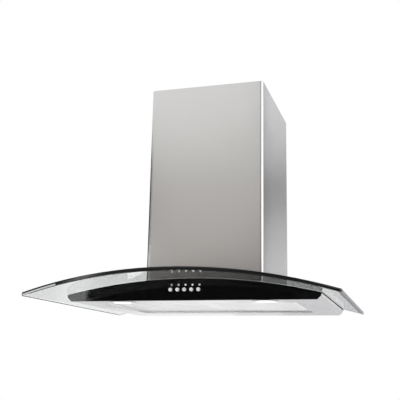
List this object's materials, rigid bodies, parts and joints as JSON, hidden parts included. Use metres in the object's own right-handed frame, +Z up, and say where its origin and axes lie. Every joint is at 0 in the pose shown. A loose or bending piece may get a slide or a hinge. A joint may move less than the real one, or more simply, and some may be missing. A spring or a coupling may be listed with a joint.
{
  "type": "curved glass range hood",
  "caption": "Wall-hung chimney range hood with an arched clear glass canopy, black push-button panel, two swing-down grease filters and a telescoping cover over a centrifugal blower.",
  "frame": {"origin": "on the body's back wall where it lies on the kitchen wall, on the centre line, halfway up the body", "axes": "+X to the right seen from the front, -Y to the front, +Z up; the wall is the plane y = 0"},
  "size_m": [0.6, 0.499, 0.4771],
  "materials": {
    "glass": "clear toughened glass, bent, polished edges",
    "brushed_steel": "brushed stainless steel, upright grain",
    "galvanised": "galvanised sheet, matte",
    "black_gloss": "black gloss fascia",
    "button_metal": "satin chromed buttons",
    "clear_pips": "clear moulded light guide",
    "lamp_glass": "frosted lamp lens",
    "chrome": "bright chromed metal",
    "filter_aluminium": "bare aluminium frame and mesh",
    "grey_plastic": "moulded grey plastic",
    "white_plastic": "moulded pale plastic",
    "dark_plastic": "moulded dark plastic",
    "rubber": "black rubber"
  },
  "bodies": {
    "hood": {"glass_canopy": "glass", "body_shell": "brushed_steel", "body_top": "galvanised", "control_panel": "black_gloss", "indicator_bar": "clear_pips", "switch_block": "dark_plastic", "chimney_lower": "brushed_steel", "chimney_bracket": "galvanised", "chimney_clip_left": "galvanised", "chimney_clip_right": "galvanised", "blower_box": "galvanised", "scroll_housing": "grey_plastic", "motor": "galvanised", "motor_bracket": "galvanised", "outlet_collar": "grey_plastic", "flap_pin_front": "chrome", "flap_pin_rear": "chrome", "terminal_box": "dark_plastic", "cable_gland": "dark_plastic", "wall_hook_left": "galvanised", "wall_hook_right": "galvanised", "lamp_bezel_left": "chrome", "lamp_lens_left": "lamp_glass", "lamp_can_left": "filter_aluminium", "lamp_bezel_right": "chrome", "lamp_lens_right": "lamp_glass", "lamp_can_right": "filter_aluminium", "glass_bolt_1": "chrome", "glass_washer_1": "rubber", "glass_nut_1": "galvanised", "glass_bolt_2": "chrome", "glass_washer_2": "rubber", "glass_nut_2": "galvanised", "glass_bolt_3": "chrome", "glass_washer_3": "rubber", "glass_nut_3": "galvanised", "glass_bolt_4": "chrome", "glass_washer_4": "rubber", "glass_nut_4": "galvanised"},
    "chimney_upper": {"chimney_upper": "brushed_steel"},
    "wheel": {"impeller": "white_plastic", "motor_shaft": "chrome"},
    "flap_front": {"flap_front": "grey_plastic"},
    "flap_rear": {"flap_rear": "grey_plastic"},
    "cassette_left": {"filter_frame_left": "filter_aluminium", "filter_pad_left": "filter_aluminium"},
    "latch_left": {"filter_latch_left": "chrome"},
    "cassette_right": {"filter_frame_right": "filter_aluminium", "filter_pad_right": "filter_aluminium"},
    "latch_right": {"filter_latch_right": "chrome"},
    "button_1": {"button_1": "button_metal"},
    "button_2": {"button_2": "button_metal"},
    "button_3": {"button_3": "button_metal"},
    "button_4": {"button_4": "button_metal"},
    "button_5": {"button_5": "button_metal"}
  },
  "joints": [
    {"name": "button_1_push", "type": "slide", "parent": "hood", "child": "button_1", "axis": [0, 1, 0], "range_m": [0, 0.002], "stiffness_N_per_m": 500, "springref_m": -0.001},
    {"name": "button_2_push", "type": "slide", "parent": "hood", "child": "button_2", "axis": [0, 1, 0], "range_m": [0, 0.002], "stiffness_N_per_m": 500, "springref_m": -0.001},
    {"name": "button_3_push", "type": "slide", "parent": "hood", "child": "button_3", "axis": [0, 1, 0], "range_m": [0, 0.002], "stiffness_N_per_m": 500, "springref_m": -0.001},
    {"name": "button_4_push", "type": "slide", "parent": "hood", "child": "button_4", "axis": [0, 1, 0], "range_m": [0, 0.002], "stiffness_N_per_m": 500, "springref_m": -0.001},
    {"name": "button_5_push", "type": "slide", "parent": "hood", "child": "button_5", "axis": [0, 1, 0], "range_m": [0, 0.002], "stiffness_N_per_m": 500, "springref_m": -0.001},
    {"name": "cassette_left_swing", "type": "hinge", "parent": "hood", "child": "cassette_left", "pos_m": [0, -0.0853, -0.01576], "axis": [1, 0, 0], "range_deg": [0, 60]},
    {"name": "latch_left_pull", "type": "slide", "parent": "cassette_left", "child": "latch_left", "axis": [0, 1, 0], "range_m": [0, 0.005], "stiffness_N_per_m": 400, "springref_m": -0.003},
    {"name": "cassette_right_swing", "type": "hinge", "parent": "hood", "child": "cassette_right", "pos_m": [0, -0.0853, -0.01576], "axis": [1, 0, 0], "range_deg": [0, 60]},
    {"name": "latch_right_pull", "type": "slide", "parent": "cassette_right", "child": "latch_right", "axis": [0, 1, 0], "range_m": [0, 0.005], "stiffness_N_per_m": 400, "springref_m": -0.003},
    {"name": "chimney_extend", "type": "slide", "parent": "hood", "child": "chimney_upper", "axis": [0, 0, 1], "range_m": [0, 0.32]},
    {"name": "wheel_spin", "type": "hinge", "parent": "hood", "child": "wheel", "pos_m": [0, -0.1376, 0.14645], "axis": [1, 0, 0], "continuous": true},
    {"name": "flap_rear_open", "type": "hinge", "parent": "hood", "child": "flap_rear", "pos_m": [0, -0.0844, 0.28574], "axis": [1, 0, 0], "range_deg": [0, 75]},
    {"name": "flap_front_open", "type": "hinge", "parent": "hood", "child": "flap_front", "pos_m": [0, -0.0936, 0.28574], "axis": [-1, 0, 0], "range_deg": [0, 75]}
  ]
}
